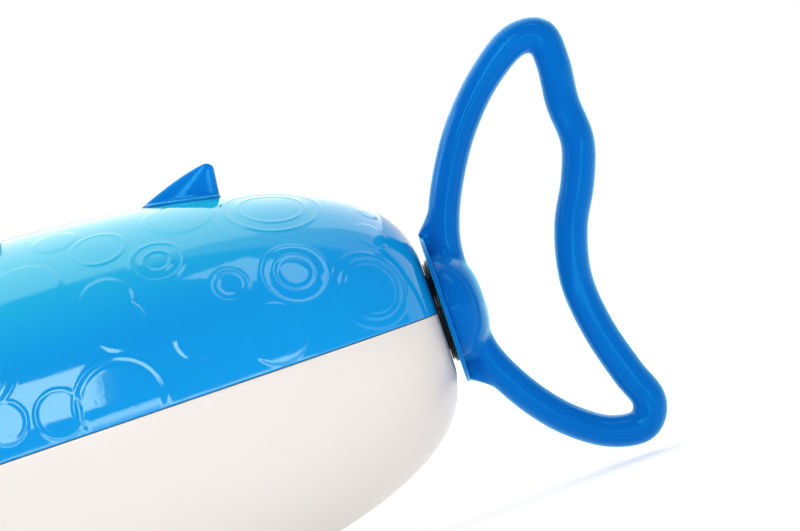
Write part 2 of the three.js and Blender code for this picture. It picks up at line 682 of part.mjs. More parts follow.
function piece(name, shape, material) {
  const geometry = shape.isBufferGeometry ? shape : geometryOf(shape);
  const mesh = new THREE.Mesh(geometry, material);
  mesh.name = name;
  toy.add(mesh);
  return mesh;
}

piece('upper_shell', upperShell(), BLUE);
piece('lower_shell', lowerShell(), WHITE);
piece('front_dorsal_fin', dorsalFin(FRONT_FIN), BLUE);
piece('rear_dorsal_fin', dorsalFin(REAR_FIN), BLUE);
[['right', 1], ['left', -1]].forEach(([name, side]) => {
  piece(`${name}_pectoral_fin`, pectoralFin(side), BLUE);
  piece(`${name}_eye`, eye(side), WHITE);
  piece(`${name}_pupil`, pupil(side), BLACK);
});
screwPlaces.forEach(([x, y], i) => {
  piece(`shell_screw_${i + 1}`, screw(SHELL_SCREW_LENGTH), STEEL).position.set(x, y, -SCREW_SEAT - FIT);
});
piece('pump_barrel', pumpBarrel(), NATURAL);
piece('barrel_end_cap', barrelEndCap(), NATURAL);
piece('nozzle', nozzle(), BLACK);
piece('nozzle_seal', rubberRing(neckSealStation, neckSealRadius, NECK_SEAL), RUBBER);
piece('plunger_rod', plungerRod(), BLACK);
piece('piston_head', pistonHead(), BLACK);
piece('piston_seal', rubberRing((pistonFront + pistonBack) / 2, pistonSealRadius, PISTON_SEAL), RUBBER);
piece('tail_handle', tailHandle(), BLUE);

const pistonScrew = piece('piston_screw', screw(PLUNGER_SCREW_LENGTH), STEEL);
pistonScrew.quaternion.setFromUnitVectors(Z_AXIS, X_AXIS);
pistonScrew.position.x = pistonScrewSeat - FIT;
const handleScrew = piece('handle_screw', screw(PLUNGER_SCREW_LENGTH), STEEL);
handleScrew.quaternion.setFromUnitVectors(Z_AXIS, X_AXIS.clone().negate());
handleScrew.position.x = recessFloor + FIT;

export default toy;
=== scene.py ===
"""Looks of a shark squirt bath toy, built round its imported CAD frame.

Sizes are in millimetres in the part's frame: X runs from nose to tail along the pump axis, Z up from the floor.
"""

import json
import math

import bmesh
import bpy
import numpy as np
from mathutils import Matrix, Vector


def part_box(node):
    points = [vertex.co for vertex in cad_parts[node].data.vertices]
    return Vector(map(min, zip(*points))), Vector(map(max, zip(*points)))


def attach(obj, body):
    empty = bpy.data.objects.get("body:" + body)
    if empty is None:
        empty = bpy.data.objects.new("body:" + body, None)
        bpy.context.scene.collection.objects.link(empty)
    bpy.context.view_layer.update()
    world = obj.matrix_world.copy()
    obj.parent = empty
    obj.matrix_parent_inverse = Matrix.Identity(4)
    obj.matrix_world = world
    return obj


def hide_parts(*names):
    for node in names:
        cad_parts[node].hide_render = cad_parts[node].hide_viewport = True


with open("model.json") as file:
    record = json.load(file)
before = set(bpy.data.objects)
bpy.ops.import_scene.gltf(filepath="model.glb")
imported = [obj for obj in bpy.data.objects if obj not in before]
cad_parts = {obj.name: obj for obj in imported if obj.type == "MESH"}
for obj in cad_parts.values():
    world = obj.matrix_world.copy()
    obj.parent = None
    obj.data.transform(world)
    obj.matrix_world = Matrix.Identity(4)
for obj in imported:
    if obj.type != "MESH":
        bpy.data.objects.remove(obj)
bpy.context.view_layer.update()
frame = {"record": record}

MM = 0.001


def box_mm(node):
    """Lowest and highest corner of a CAD node, in millimetres."""
    return [np.array(corner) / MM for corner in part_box(node)]


# Places and sizes that the frame gives
upper_low, upper_high = box_mm("upper_shell")
rod_low, rod_high = box_mm("plunger_rod")
piston_low, piston_high = box_mm("piston_head")
barrel_low, barrel_high = box_mm("pump_barrel")
cap_low, cap_high = box_mm("barrel_end_cap")
nozzle_low, nozzle_high = box_mm("nozzle")
REAR_LENGTH = upper_high[0]  # widest station of the body, X = 0, to its rear end
NOSE_LENGTH = -upper_low[0]
BODY_RADIUS = box_mm("lower_shell")[1][1]
AXIS = upper_high[2] - BODY_RADIUS  # height of the pump axis
FLANGE_LEAD = 0.7  # the flange's face lies this much nearer to the body than on the CAD node
TAIL_FACE = box_mm("tail_handle")[0][0] - FLANGE_LEAD

# Body outline: half height at a distance along X is BODY_RADIUS * (1 - (distance / reach)^2)^fullness
REAR_END_RADIUS = 14
REAR_FULLNESS = 0.27
NOSE_END_RADIUS = 9.6
SNOUT_TOP = 0.55
SNOUT_SIDE = 0.5
SNOUT_CHIN = 0.64

# Shells
WALL = 2.2
END_WALL = 2.6
SEAM = 0.16
EDGE_ROUND = 0.2  # rounding of the shells' edges along the parting line
EDGE_LINES = (0.05, 0.11, 0.2)  # extra mesh lines along that rounding, from the edge
RELIEF_FADE = 3  # the relief fades out over this distance from those edges
ROD_HOLE = 9.5
NOZZLE_HOLE = 6.7
OUTLINE_STEPS = 4001  # samples along the body's outline that the mesh lines are spread over
UPPER_MESH = 0.38  # spacing of mesh lines
LOWER_MESH = 0.9
LINING_MESH = (60, 32)  # mesh lines along and round the inner faces
BELLY_BLEND = 0.4  # softness of the edge of the belly's flat
COLUMN_RADIUS = 5.2
COUNTERBORE = 3.3
SCREW_HOLE = 1.7
FIT = 0.3
SEAT = 0.05  # what stands on the body clears it by this
OVERSHOOT = 1  # how far cutters reach past what they cut

# Low relief on the upper shell: place along X, degrees above the parting line, ring radii, disc radius
RING_WIDTH = 0.42
RING_HEIGHT = 0.15
DISC_EDGE = 0.9
DISC_HEIGHT = 0.13
BUBBLES = [
    (97.9, 30.3, (7.6, 4.8), 3.5),
    (83.3, 30.5, (4.1, 2.8), 0),
    (90.0, 11.1, (), 7.1),
    (112.8, 19.5, (9.2, 7.1, 5.8), 0),
    (116.3, 48.7, (), 4.1),
    (117.0, 69.8, (), 2.3),
    (97.0, 66.5, (11.0, 7.6), 0),
    (76.4, 66.7, (), 8.1),
    (69.6, 45.3, (6.0, 3.2), 0),
    (56.6, 35.7, (), 5.8),
    (57.7, 26.8, (5.8,), 0),
    (57.6, 57.0, (6.0,), 0),
    (48.2, 67.0, (), 5.1),
    (39.5, 46.7, (), 8.5),
    (25.5, 23.9, (7.6, 5.1, 3.9), 0),
    (28.0, 9.9, (4.6,), 0),
    (53.1, 5.2, (10.3,), 8.6),
    (39.7, 7.6, (5.3,), 0),
    (73.0, 16.3, (), 4.8),
    (12.0, 44.0, (6.4, 4.2), 0),
    (9.0, 12.0, (), 6.6),
    (-2.0, 27.0, (8.2, 5.6), 3.2),
    (-11.0, 9.0, (4.4, 2.8), 0),
    (-20.0, 41.0, (), 7.0),
    (-21.0, 21.0, (5.2,), 0),
    (-33.0, 58.0, (6.6, 4.4), 0),
    (-36.0, 32.0, (), 3.6),
    (-50.0, 62.0, (), 5.6),
    (-62.0, 54.0, (4.6, 3.0), 0),
    (-91.0, 62.0, (4.2, 2.6), 0),
    (-84.0, 12.0, (), 3.6),
]

# Slits in the head; setbacks are measured from the nose
GILL_SETBACKS = (54, 61, 68)
GILL_ANGLES = (10, 40)
GILL_RAKE = 5
GILL_BOW = 1.5
GROOVE_WIDTH = 0.85
GROOVE_DEPTH = 1.1
MOUTH_CORNER_SETBACK = 42
MOUTH_FRONT_SETBACK = 17
MOUTH_ANGLE = 24

# Fins; dorsal places are measured forward from the rear end, heights from the body's top at the fin's end
FRONT_FIN = {
    "start": 149, "end": 89.5, "tip": 99, "lean": -6, "hollow": 7, "round": 2, "sink": 3.6, "rise": 38.4,
    "thickness": 5.4, "taper": 0.75,
    "saddle_front": 154, "saddle_end": 89.1, "saddle_side": 18.6, "saddle_round": 4, "saddle": 1.8,
    "voxel": 0.5, "rounds": 5,
}
REAR_FIN = {
    "start": 67, "end": 38.9, "tip": 40.4, "lean": 1.1, "hollow": 0, "round": 1.8, "sink": 1.2, "rise": 8.4,
    "thickness": 2, "taper": 0.25,
    "saddle_front": 55.8, "saddle_end": 38.6, "saddle_side": 4.2, "saddle_round": 2.5, "saddle": 0.6,
    "voxel": 0.2, "rounds": 4,
}
FIN_FLATNESS = 0.8  # below 1 the fins' faces are flatter than an ellipse
FIN_BELLY = 0.3  # how far the thickest place lies behind the middle, as a share of half the chord
FIN_CROWDING = 1.6  # above 1 the dorsal fins' sections crowd towards the tip
FIN_BOW = 0.74  # below 1 their leading edges are bowed
FIN_SIDES = 72
SADDLE_SCALES = (0.05, 0.99)  # innermost and outermost rings of a saddle's faces, as shares of its plan
PECTORAL_SETBACK = 50
PECTORAL_CHORD = 36
PECTORAL_SPAN = 41.7
PECTORAL_ROOT = 9  # how far the root reaches into the body
PECTORAL_SWEEP = 36
PECTORAL_TIP = 13
PECTORAL_HOLLOW = 5
PECTORAL_THICKNESS = 4
PECTORAL_ANGLE = -22
PECTORAL_DROOP = 34
PECTORAL_CROWDING = 1.5
PECTORAL_BOW = 1.5
PECTORAL_EDGE = 0.35  # thickness left at the tip, as a share of the root's

# Eyes
EYE_SETBACK = 32
EYE_ANGLE = 33
EYE_RADIUS = 6.4
EYE_RISE = 2.6
PUPIL_RADIUS = 3.5
PUPIL_RISE = 1.1
PUPIL_SINK = 1.2

# Tail handle, measured from the rear end of the body and from the pump axis
TAIL_BAR = [
    (6.2, 6), (6.8, 14), (8.8, 21), (13.2, 30), (19.2, 39), (28, 48), (37.2, 53.6), (42.7, 52.9),
    (43.64, 46.2), (42.8, 36.5), (43.25, 27), (40.2, 18), (35.6, 9), (32.8, -3), (33.9, -15), (37.2, -27),
    (39.9, -35.2), (37, -39.6), (29.4, -38.8), (21.4, -33.6), (15.2, -26.8), (9.9, -18.2), (7.4, -12.2),
    (6.2, -5),
]
TAIL_FRONT_RADIUS = 3.75  # half width of the bar's front arms, seen from the side
TAIL_BACK_RADIUS = 3.98  # half width of its rear arm
TAIL_REAR_START = 26  # where the rear arm's width sets in, and over what length
TAIL_REAR_BLEND = 12
TAIL_DEPTH = 4.4  # half width of the bar, seen from behind
TAIL_FLANGE_RADIUS = 17.5
TAIL_DOME_RADIUS = 12.8
TAIL_DOME = 9.9  # from the flange's face to the top of the dome
TAIL_DOME_FULLNESS = 0.8  # below 1 the dome is fuller than an ellipse
TAIL_RECESS = 3  # depth of the screw's recess in the dome
TAIL_CLEARING = 5  # the recess's cutter reaches this far past the dome
TAIL_STRUTS = [  # webs that fill the corners between the arms and the flange's rim
    [(1.9, 17.2), (4.2, 19), (6.8, 21.4), (9.8, 25)],
    [(2.2, 16.4), (3.1, 15.2), (4, 13.2), (5, 10.5)],
    [(1.9, -15.7), (5, -17.2), (7.8, -19), (11, -22)],
    [(2.2, -14.9), (3.3, -13.8), (4.2, -12), (5.2, -9.6)],
]
TAIL_STRUT_RADIUS = (1.2, 2.2)  # at the rim and in the arm
TAIL_RIM = 0.9  # thickness of the flange's rim
TAIL_VOXEL = 0.5
TAIL_ROUNDS = 20

# Pump and plunger
BORE_RADIUS = 15
BARREL_RADIUS = 17
BARREL_FRONT_WALL = 2.5
BARREL_CHAMFER = 2
HEAD_SPACE = 1  # piston to the barrel's front wall
NECK_RADIUS = 4.5
NECK_TAPER = 0.6
NECK_BORE = 2.4
CAP_PLATE = 4
CAP_FACE_RADIUS = 13
ROD_SPAN = 9
ROD_WEB = 1.5
ROD_FILLET = 3
ROD_SPIGOT_RADIUS = 6
ROD_BORE = 14  # depth of the screw holes in the rod's ends
SLIDE = 0.5
SEAL_FIT = 0.2
PISTON_CHAMFER = 1
COLLAR_RADIUS = 12.2
COLLAR_STEP = 0.7
NOZZLE_FLANGE = 2.2
NOZZLE_FLANGE_RADIUS = 9
NOZZLE_TIP = 8
NOZZLE_TIP_RADIUS = 3.6
NOZZLE_FLARE = 1.5  # radius at the foot of the tip, as a share of the tip's
NOZZLE_CHAMFER = 1
NOZZLE_STEM_RADIUS = 6.4
JET_RADIUS = 1.5
ROUNDING = {  # of the edges of turned pieces
    "collar": 0.2, "piston": 0.25, "flange": 0.3, "spigot": 0.3, "barrel": 0.4, "cap": 0.4, "rib": 0.5, "nozzle": 0.6,
}

# Screws
SCREW_RADIUS = 1.4
SCREW_HEAD_RADIUS = 3
SCREW_HEAD = 2
SCREW_HEAD_RIM = 0.35  # height of the head's edge, as a share of the head's
SCREW_POINT = 3  # length of the point, in radii of the shank
THREAD_PITCH = 1.1
THREAD_DEPTH = 0.3
CROSS_LENGTH = 3.4
CROSS_WIDTH = 0.7
CROSS_DEPTH = 1.1
CROSS_TAPER = 0.6

# Finishes; a noise is given by its scale and detail
DRIFT = (18, 3)  # slow change of colour
DRIFT_RANGE = (0.3, 0.7)
POLISH = (90, 4)  # uneven gloss
POLISH_RANGE = (0.8, 1.25)
GRAIN = (700, 2)  # fine unevenness of the surface
GRAIN_DEPTH = 0.0002  # metres
EDGE_GLOW = 1.0  # sheen of the blue mouldings where light grazes them
EDGE_SPREAD = 0.4
TOP_HIGHLIGHT_START = 0.3  # share of the body's radius above the axis where the painted top highlight, a lighter colour, sets in
SHARP = math.radians(38)  # edges that turn by more than this are not shaded smooth

record = frame["record"]
slot_of = {part["node"]: part["material_slot"] for part in record["subparts"]}
body_of = {node: body for body, nodes in record["behaviour"]["bodies"].items() for node in nodes}
SHELL_SCREWS = [f"shell_screw_{i}" for i in range(1, 7)]


# Mesh tools


def tidy(mesh):
    """Joins doubled points and turns every face outwards."""
    shape = bmesh.new()
    shape.from_mesh(mesh)
    bmesh.ops.remove_doubles(shape, verts=shape.verts, dist=1e-6)
    bmesh.ops.recalc_face_normals(shape, faces=shape.faces)
    shape.to_mesh(mesh)
    shape.free()
    return mesh


def mesh_of(points, faces):
    mesh = bpy.data.meshes.new("shape")
    mesh.from_pydata((np.asarray(points).reshape(-1, 3) * MM).tolist(), [], faces)
    return tidy(mesh)


def grid_faces(index):
    """Quads between neighbouring rows of point numbers."""
    corners = [index[:-1, :-1], index[:-1, 1:], index[1:, 1:], index[1:, :-1]]
    return np.stack(corners, -1).reshape(-1, 4).tolist()


def grid_mesh(points):
    """A skin over a grid of points."""
    index = np.arange(points.shape[0] * points.shape[1]).reshape(points.shape[:2])
    return mesh_of(points, grid_faces(index))


def bridge(fine, picks, coarse):
    """Faces between a fine line of points and a coarse one, which faces the picked fine points."""
    faces = []
    for i, (start, end) in enumerate(zip(picks[:-1], picks[1:])):
        faces.append([*fine[start:end + 1].tolist(), int(coarse[i + 1]), int(coarse[i])])
    return faces


def loft(rings):
    """A closed skin over rings with equal numbers of points."""
    rings = np.asarray(rings)
    index = np.arange(rings.shape[0] * rings.shape[1]).reshape(rings.shape[:2])
    faces = grid_faces(np.hstack([index, index[:, :1]]))
    return mesh_of(rings, [*faces, index[0].tolist(), index[-1].tolist()])


def turned(profile, sides=96):
    """A solid turned about the pump axis, from (x, radius) points."""
    x, radius = np.array(profile, float).T[:, :, None]
    turn = np.linspace(0, 2 * np.pi, sides + 1)
    return grid_mesh(np.stack([x + 0 * turn, radius * np.cos(turn), AXIS + radius * np.sin(turn)], -1))


def upright(profile, sides):
    """A solid turned about Z at the origin, from (radius, height) points."""
    radius, height = np.array(profile, float).T[:, :, None]
    turn = np.linspace(0, 2 * np.pi, sides + 1)
    return grid_mesh(np.stack([radius * np.cos(turn), radius * np.sin(turn), height + 0 * turn], -1))


def smoothstep(share):
    """An even ramp from 0 to 1 with soft ends."""
    share = np.clip(share, 0, 1)
    return share * share * (3 - 2 * share)


def rounded(profile, radius, steps=4):
    """The profile with its corners rounded off; a profile that ends where it starts is closed."""
    points = [np.array(p, float) for p in profile]
    closed = np.allclose(points[0], points[-1])
    if closed:
        points = points[:-1]
    made = []
    for i, corner in enumerate(points):
        if not closed and i in (0, len(points) - 1):
            made.append(corner)
            continue
        before, after = points[i - 1] - corner, points[(i + 1) % len(points)] - corner
        reach = min(radius, 0.45 * np.linalg.norm(before), 0.45 * np.linalg.norm(after))
        first = corner + before / np.linalg.norm(before) * reach
        last = corner + after / np.linalg.norm(after) * reach
        for t in np.linspace(0, 1, steps + 1):
            made.append((1 - t) ** 2 * first + 2 * t * (1 - t) * corner + t**2 * last)
    if closed:
        made.append(made[0])
    return made


def standing(foot, way):
    """The move that takes the origin to a foot and Z to a direction."""
    turn = Vector((0, 0, 1)).rotation_difference(Vector(way)).to_matrix().to_4x4()
    return Matrix.Translation(Vector(foot * MM)) @ turn


def moved(mesh, matrix):
    mesh.transform(matrix)
    return mesh


def joined(meshes):
    """Several meshes as one, not merged."""
    shape = bmesh.new()
    for mesh in meshes:
        shape.from_mesh(mesh)
    whole = bpy.data.meshes.new("shape")
    shape.to_mesh(whole)
    shape.free()
    return whole


def evaluated(obj):
    """The object's mesh with its modifiers applied; the object goes."""
    bpy.context.view_layer.update()
    made = bpy.data.meshes.new_from_object(obj.evaluated_get(bpy.context.evaluated_depsgraph_get()))
    bpy.data.objects.remove(obj)
    return made


def placed(mesh):
    obj = bpy.data.objects.new("shape", mesh)
    bpy.context.scene.collection.objects.link(obj)
    return obj


def combine(mesh, tool, operation):
    """The mesh with another solid joined (UNION), cut off (DIFFERENCE) or met (INTERSECT)."""
    whole, other = placed(mesh), placed(tool)
    modifier = whole.modifiers.new("combine", "BOOLEAN")
    modifier.operation = operation
    modifier.solver = "EXACT"
    modifier.object = other
    made = evaluated(whole)
    bpy.data.objects.remove(other)
    return tidy(made)


def moulded(meshes, voxel, rounds):
    """Overlapping solids as one moulding, with softened edges and filled corners."""
    whole = placed(joined(meshes))
    remesh = whole.modifiers.new("mould", "REMESH")
    remesh.mode = "VOXEL"
    remesh.voxel_size = voxel * MM
    smooth = whole.modifiers.new("soften", "SMOOTH")
    smooth.factor = 0.5
    smooth.iterations = rounds
    return evaluated(whole)


def dress(node, mesh):
    """Shows a mesh in place of a CAD node, with that node's body and finish."""
    mesh.shade_smooth()
    mesh.set_sharp_from_angle(angle=SHARP)
    mesh.materials.clear()
    mesh.materials.append(FINISHES[slot_of[node]])
    look = placed(mesh)
    look.name = f"{node}_look"
    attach(look, body_of[node])
    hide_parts(node)
    return look


# Finishes


def moulding(
    name, colour, tone, roughness, gloss=0.5, shine=(1, 1, 1), grain=0.05, metallic=0.0, painted_top_highlight=None, edge=None
):
    """Moulded plastic, rubber or plated steel: slow colour drift, uneven gloss and a fine surface grain.

    A painted highlight takes over from above the parting line up to the top of the body: a lighter colour
    in place of the light that falls there. An edge colour glows where light grazes the plastic, as it does
    on a slightly cloudy moulding.
    """
    material = bpy.data.materials.new(name)
    material.use_nodes = True
    nodes, links = material.node_tree.nodes, material.node_tree.links
    shader = nodes["Principled BSDF"]
    shader.inputs["Metallic"].default_value = metallic
    shader.inputs["Specular IOR Level"].default_value = gloss
    shader.inputs["Specular Tint"].default_value = (*shine, 1)
    if edge:
        shader.inputs["Sheen Weight"].default_value = EDGE_GLOW
        shader.inputs["Sheen Roughness"].default_value = EDGE_SPREAD
        shader.inputs["Sheen Tint"].default_value = (*edge, 1)
    place = nodes.new("ShaderNodeTexCoord")

    def noise(scale, detail):
        node = nodes.new("ShaderNodeTexNoise")
        node.inputs["Scale"].default_value = scale
        node.inputs["Detail"].default_value = detail
        links.new(place.outputs["Object"], node.inputs["Vector"])
        return node.outputs["Fac"]

    ramp = nodes.new("ShaderNodeValToRGB")
    for stop, position, shade in zip(ramp.color_ramp.elements, DRIFT_RANGE, (tone, colour)):
        stop.position = position
        stop.color = (*shade, 1)
    links.new(noise(*DRIFT), ramp.inputs["Fac"])
    paint = ramp.outputs["Color"]
    # painted highlight: the colour turns lighter towards the top of the body, standing in for the light that falls
    # there
    if painted_top_highlight:
        parts = nodes.new("ShaderNodeSeparateXYZ")
        links.new(place.outputs["Object"], parts.inputs["Vector"])
        climb = nodes.new("ShaderNodeMapRange")
        climb.interpolation_type = "SMOOTHSTEP"
        climb.inputs["From Min"].default_value = (AXIS + TOP_HIGHLIGHT_START * BODY_RADIUS) * MM
        climb.inputs["From Max"].default_value = (AXIS + BODY_RADIUS) * MM
        links.new(parts.outputs["Z"], climb.inputs["Value"])
        mix = nodes.new("ShaderNodeMix")
        mix.data_type = "RGBA"
        links.new(climb.outputs["Result"], mix.inputs["Factor"])
        links.new(paint, mix.inputs["A"])
        mix.inputs["B"].default_value = (*painted_top_highlight, 1)
        paint = mix.outputs["Result"]
    links.new(paint, shader.inputs["Base Color"])

    polish = nodes.new("ShaderNodeMapRange")
    polish.inputs["To Min"].default_value = roughness * POLISH_RANGE[0]
    polish.inputs["To Max"].default_value = roughness * POLISH_RANGE[1]
    links.new(noise(*POLISH), polish.inputs["Value"])
    links.new(polish.outputs["Result"], shader.inputs["Roughness"])

    bump = nodes.new("ShaderNodeBump")
    bump.inputs["Strength"].default_value = grain
    bump.inputs["Distance"].default_value = GRAIN_DEPTH
    links.new(noise(*GRAIN), bump.inputs["Height"])
    links.new(bump.outputs["Normal"], shader.inputs["Normal"])
    return material


SHELL_SHINE = (0.75, 1, 0.6)  # tints of what the blue mouldings mirror
TAIL_SHINE = (0.03, 0.75, 1)
FIN_SHINE = (0.1, 0.75, 1)
FINISHES = {
    # the shell's lighter top colour is a painted highlight
    "shell_blue": moulding(
        "shell_blue", (0.004, 0.3, 0.73), (0.003, 0.28, 0.71), 0.06, shine=SHELL_SHINE, painted_top_highlight=(0.02, 0.53, 0.74)
    ),
    "shell_white": moulding("shell_white", (0.74, 0.7, 0.665), (0.725, 0.68, 0.64), 0.3),
    "fin_blue": moulding(
        "fin_blue", (0.003, 0.215, 0.7), (0.002, 0.2, 0.67), 0.07, 0.3, FIN_SHINE, edge=FIN_SHINE
    ),
    "tail_blue": moulding(
        "tail_blue", (0.002, 0.14, 0.54), (0.002, 0.115, 0.48), 0.08, 0.2, TAIL_SHINE, edge=TAIL_SHINE
    ),
    "eye_white": moulding("eye_white", (0.82, 0.82, 0.82), (0.8, 0.8, 0.79), 0.12),
    "pump_black": moulding("pump_black", (0.005, 0.009, 0.018), (0.003, 0.006, 0.012), 0.18, 0.15),
    "natural_plastic": moulding("natural_plastic", (0.72, 0.74, 0.76), (0.68, 0.7, 0.72), 0.4),
    "seal_rubber": moulding("seal_rubber", (0.02, 0.02, 0.022), (0.014, 0.014, 0.015), 0.65, grain=0.2),
    "screw_steel": moulding("screw_steel", (0.6, 0.61, 0.63), (0.5, 0.51, 0.53), 0.3, grain=0.1, metallic=1.0),
}


# Body surface; angles run from the left parting line over the top to the right one, or under the belly if negative


def outline(distance, length, end_radius, fullness):
    reach = length / math.sqrt(1 - (end_radius / BODY_RADIUS) ** (1 / fullness))
    return BODY_RADIUS * (1 - (distance / reach) ** 2) ** fullness


def body_point(x, angle):
    x, angle = np.broadcast_arrays(np.asarray(x, float), np.asarray(angle, float))
    behind, ahead = np.clip(x, 0, REAR_LENGTH), np.clip(-x, 0, NOSE_LENGTH)
    rear = outline(behind, REAR_LENGTH, REAR_END_RADIUS, REAR_FULLNESS)
    flank, brow, chin = [
        outline(ahead, NOSE_LENGTH, NOSE_END_RADIUS, fullness) for fullness in (SNOUT_SIDE, SNOUT_TOP, SNOUT_CHIN)
    ]
    up = np.sin(angle)
    side = np.where(x >= 0, rear, flank)
    height = np.where(x >= 0, rear, np.where(up >= 0, brow, chin))
    return np.stack([x, -side * np.cos(angle), AXIS + height * up], -1)


def skin(x, angle, offset=0.0):
    """Points on the body, moved out by an offset, and the normals there."""
    step = 1e-3
    behind, ahead = np.minimum(x + step, REAR_LENGTH), np.maximum(x - step, -NOSE_LENGTH)
    along = body_point(behind, angle) - body_point(ahead, angle)
    across = body_point(x, angle + step) - body_point(x, angle - step)
    normal = np.cross(along, across)
    normal /= np.linalg.norm(normal, axis=-1, keepdims=True)
    return body_point(x, angle) + normal * offset, normal


def stations(spacing):
    """Places along X, evenly spaced along the body's outline."""
    share = np.sin(np.linspace(-np.pi / 2, np.pi / 2, OUTLINE_STEPS))
    x = share * np.where(share < 0, NOSE_LENGTH, REAR_LENGTH)
    along = np.cumsum(np.r_[0, np.linalg.norm(np.diff(body_point(x, np.pi / 2), axis=0), axis=1)])
    return np.interp(np.linspace(0, along[-1], int(along[-1] / spacing)), along, x)


def body_solid(offset, spacing=2.5, sides=128):
    x = stations(spacing)[:, None]
    turn = np.linspace(0, 2 * np.pi, sides, endpoint=False)
    return loft(skin(x, turn, offset)[0])


# Relief on the shells


def bubbles(points):
    """Height of the rings and discs over points on the upper shell."""
    lift = np.zeros(points.shape[:-1])
    for x, angle, rings, disc in BUBBLES:
        for turn in (math.radians(angle), math.pi - math.radians(angle)):
            far = np.linalg.norm(points - body_point(x, turn), axis=-1)
            for radius in rings:
                lift = np.maximum(lift, RING_HEIGHT * np.exp(-(((far - radius) / RING_WIDTH) ** 2)))
            if disc:
                lift = np.maximum(lift, DISC_HEIGHT * smoothstep((disc - far) / DISC_EDGE + 0.5))
    return lift


def groove(points, path):
    """Depth of a slit along a path, over points on a shell."""
    far = np.full(points.shape[:-1], np.inf)
    for start, end in zip(path[:-1], path[1:]):
        way = end - start
        share = np.clip((points - start) @ way / (way @ way), 0, 1)
        far = np.minimum(far, np.linalg.norm(points - start - share[..., None] * way, axis=-1))
    return GROOVE_DEPTH * np.exp(-((far / GROOVE_WIDTH) ** 2))


def upper_relief(points):
    lift = bubbles(points)
    t = np.linspace(0, 1, 13)
    low, high = np.radians(GILL_ANGLES)
    for setback in GILL_SETBACKS:
        x = setback - NOSE_LENGTH - GILL_RAKE * t + GILL_BOW * np.sin(np.pi * t)
        angle = low + (high - low) * t
        lift -= groove(points, body_point(x, angle)) + groove(points, body_point(x, np.pi - angle))
    return lift


def lower_relief(points):
    t = np.linspace(0, 1, 49)
    angle = -np.radians(MOUTH_ANGLE + (180 - 2 * MOUTH_ANGLE) * t)
    setback = MOUTH_CORNER_SETBACK + (MOUTH_FRONT_SETBACK - MOUTH_CORNER_SETBACK) * np.sin(np.pi * t)
    return -groove(points, body_point(setback - NOSE_LENGTH, angle))


# Shells


def half_shell(side, spacing, relief):
    """A body shell with its wall and end holes: side is 1 above the parting line and -1 below it."""
    x = stations(spacing)
    around = np.pi * BODY_RADIUS
    lines = np.array(EDGE_LINES) / around
    share = np.unique(np.r_[np.linspace(0, 1, int(around / spacing)), lines, 1 - lines])
    parting = AXIS + side * SEAM / 2

    def sweep(height):
        edge = np.arcsin(SEAM / 2 / height)
        return side * (edge + (np.pi - 2 * edge) * share)

    height = np.abs(body_point(x, side * np.pi / 2)[:, 2] - AXIS)[:, None]
    bare, normal = skin(x[:, None], sweep(height))
    from_edge = np.minimum(share, 1 - share) * np.pi * height
    lift = relief(bare) * np.clip((from_edge - EDGE_ROUND) / RELIEF_FADE, 0, 1)
    lift -= EDGE_ROUND * np.clip(1 - from_edge / EDGE_ROUND, 0, 1) ** 2
    outer = bare + normal * lift[..., None]
    outer[..., 2] = (outer[..., 2] + np.sqrt(outer[..., 2] ** 2 + BELLY_BLEND**2)) / 2
    outer[:, [0, -1], 2] = parting

    rows, columns = [
        np.unique(np.linspace(0, len(places) - 1, count).astype(int))
        for places, count in zip((x, share), LINING_MESH)
    ]
    inner = (bare - normal * WALL)[np.ix_(rows, columns)]
    inner[..., 0] = np.clip(inner[..., 0], END_WALL - NOSE_LENGTH, REAR_LENGTH - END_WALL)
    inner[..., 2] = np.maximum(inner[..., 2], WALL)
    inner[:, [0, -1], 2] = parting

    def hole(place, radius):
        angle = sweep(radius)
        return np.stack([place + 0 * angle, -radius * np.cos(angle), AXIS + radius * np.sin(angle)], -1)

    rear = [hole(REAR_LENGTH, ROD_HOLE), hole(REAR_LENGTH - END_WALL, ROD_HOLE)]
    nose = [hole(-NOSE_LENGTH, NOZZLE_HOLE), hole(END_WALL - NOSE_LENGTH, NOZZLE_HOLE)]
    points = np.vstack([outer.reshape(-1, 3), *rear, *nose, inner.reshape(-1, 3)])

    wide = len(share)
    skin_index = np.arange(len(x) * wide).reshape(-1, wide)
    rims = skin_index.size + np.arange(4 * wide).reshape(4, wide)
    lining = rims.max() + 1 + np.arange(inner[..., 0].size).reshape(inner.shape[:2])
    faces = grid_faces(skin_index) + grid_faces(lining)
    faces += grid_faces(np.vstack([skin_index[-1], rims[0], rims[1]]))
    faces += grid_faces(np.vstack([skin_index[0], rims[2], rims[3]]))
    faces += bridge(rims[1], columns, lining[-1]) + bridge(rims[3], columns, lining[0])
    for edge in (0, -1):
        faces += bridge(skin_index[:, edge], rows, lining[:, edge])
        faces.append([int(i[edge]) for i in (skin_index[-1], rims[0], rims[1], lining[-1])])
        faces.append([int(i[edge]) for i in (skin_index[0], rims[2], rims[3], lining[0])])
    return mesh_of(points, faces)


def post(x, y, z0, z1, radius, sides=40):
    """A round post along Z."""
    turn = np.linspace(0, 2 * np.pi, sides, endpoint=False)
    rim = np.stack([x + radius * np.cos(turn), y + radius * np.sin(turn)], -1)
    return loft([np.c_[rim, np.full(sides, z)] for z in (z0, z1)])


def upper_shell():
    return half_shell(1, UPPER_MESH, upper_relief)


def lower_shell():
    """The lower shell with a column and a counterbored hole for each shell screw."""
    shell = half_shell(-1, LOWER_MESH, lower_relief)
    columns, bores, holes = [], [], []
    for node in SHELL_SCREWS:
        low, high = box_mm(node)
        x, y = (low[:2] + high[:2]) / 2
        seat = low[2] + SCREW_HEAD + FIT
        columns.append(post(x, y, 0, AXIS - SEAM / 2, COLUMN_RADIUS))
        bores.append(post(x, y, -WALL, seat, COUNTERBORE))
        holes.append(post(x, y, seat - FIT, AXIS + WALL, SCREW_HOLE))
    columns = combine(joined(columns), body_solid(-WALL / 2), "INTERSECT")
    shell = combine(shell, columns, "UNION")
    shell = combine(shell, joined(bores), "DIFFERENCE")
    return combine(shell, joined(holes), "DIFFERENCE")


# Fins and eyes


